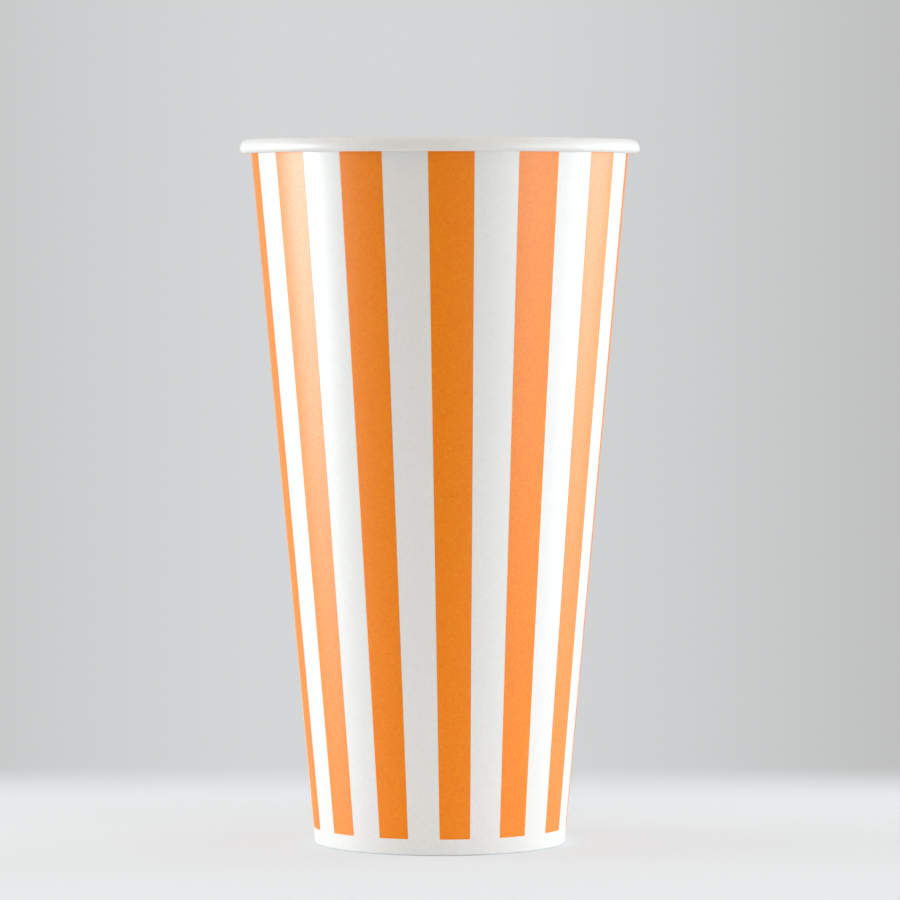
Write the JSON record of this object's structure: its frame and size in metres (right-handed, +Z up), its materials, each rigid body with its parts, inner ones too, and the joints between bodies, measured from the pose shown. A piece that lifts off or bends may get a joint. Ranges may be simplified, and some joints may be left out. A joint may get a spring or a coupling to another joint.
{
  "type": "paper cup",
  "caption": "Tall tapered paper cup with a rolled rim, a glued side seam, a raised base in a folded foot, and a print of upright orange stripes on white.",
  "frame": {"origin": "on the table under the middle of the cup, at the plane of the folded foot", "axes": "+Z up along the cup's axis, -Y towards the picture's camera, +X to its right; the side seam is at the back, near +Y"},
  "size_m": [0.09, 0.0901, 0.1587],
  "materials": {
    "white_board": "satin",
    "base_board": "satin",
    "orange_print": "satin"
  },
  "bodies": {
    "root": {"sidewall": "white_board", "base_disc": "base_board", "printed_stripes": "orange_print"}
  },
  "joints": []
}
